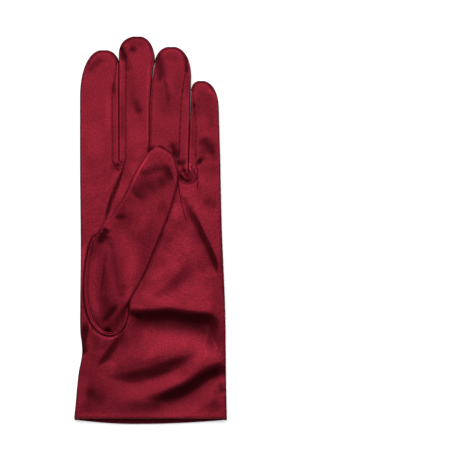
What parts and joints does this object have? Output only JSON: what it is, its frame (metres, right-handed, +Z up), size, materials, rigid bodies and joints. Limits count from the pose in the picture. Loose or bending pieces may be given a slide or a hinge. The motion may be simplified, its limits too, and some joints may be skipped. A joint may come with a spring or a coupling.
{
  "type": "wrist length dress glove",
  "caption": "Wrist length satin dress glove for a left hand, lying palm up with its thumb folded over the palm.",
  "frame": {"origin": "middle of the glove's footprint, on the surface that it lies on", "axes": "+X towards the little finger's side, +Y along the fingers towards their tips, +Z up, out of the palm"},
  "size_m": [0.0918, 0.232, 0.0182],
  "materials": {
    "satin": "burgundy stretch satin with a soft sheen",
    "hem_satin": "burgundy stretch satin, turned to its duller side"
  },
  "bodies": {
    "root": {"palm_panel": "satin", "back_panel": "satin", "fourchette_index_middle": "satin", "fourchette_middle_ring": "satin", "fourchette_ring_little": "satin", "thumb_front": "satin", "thumb_back": "satin", "cuff_hem": "hem_satin"}
  },
  "joints": []
}
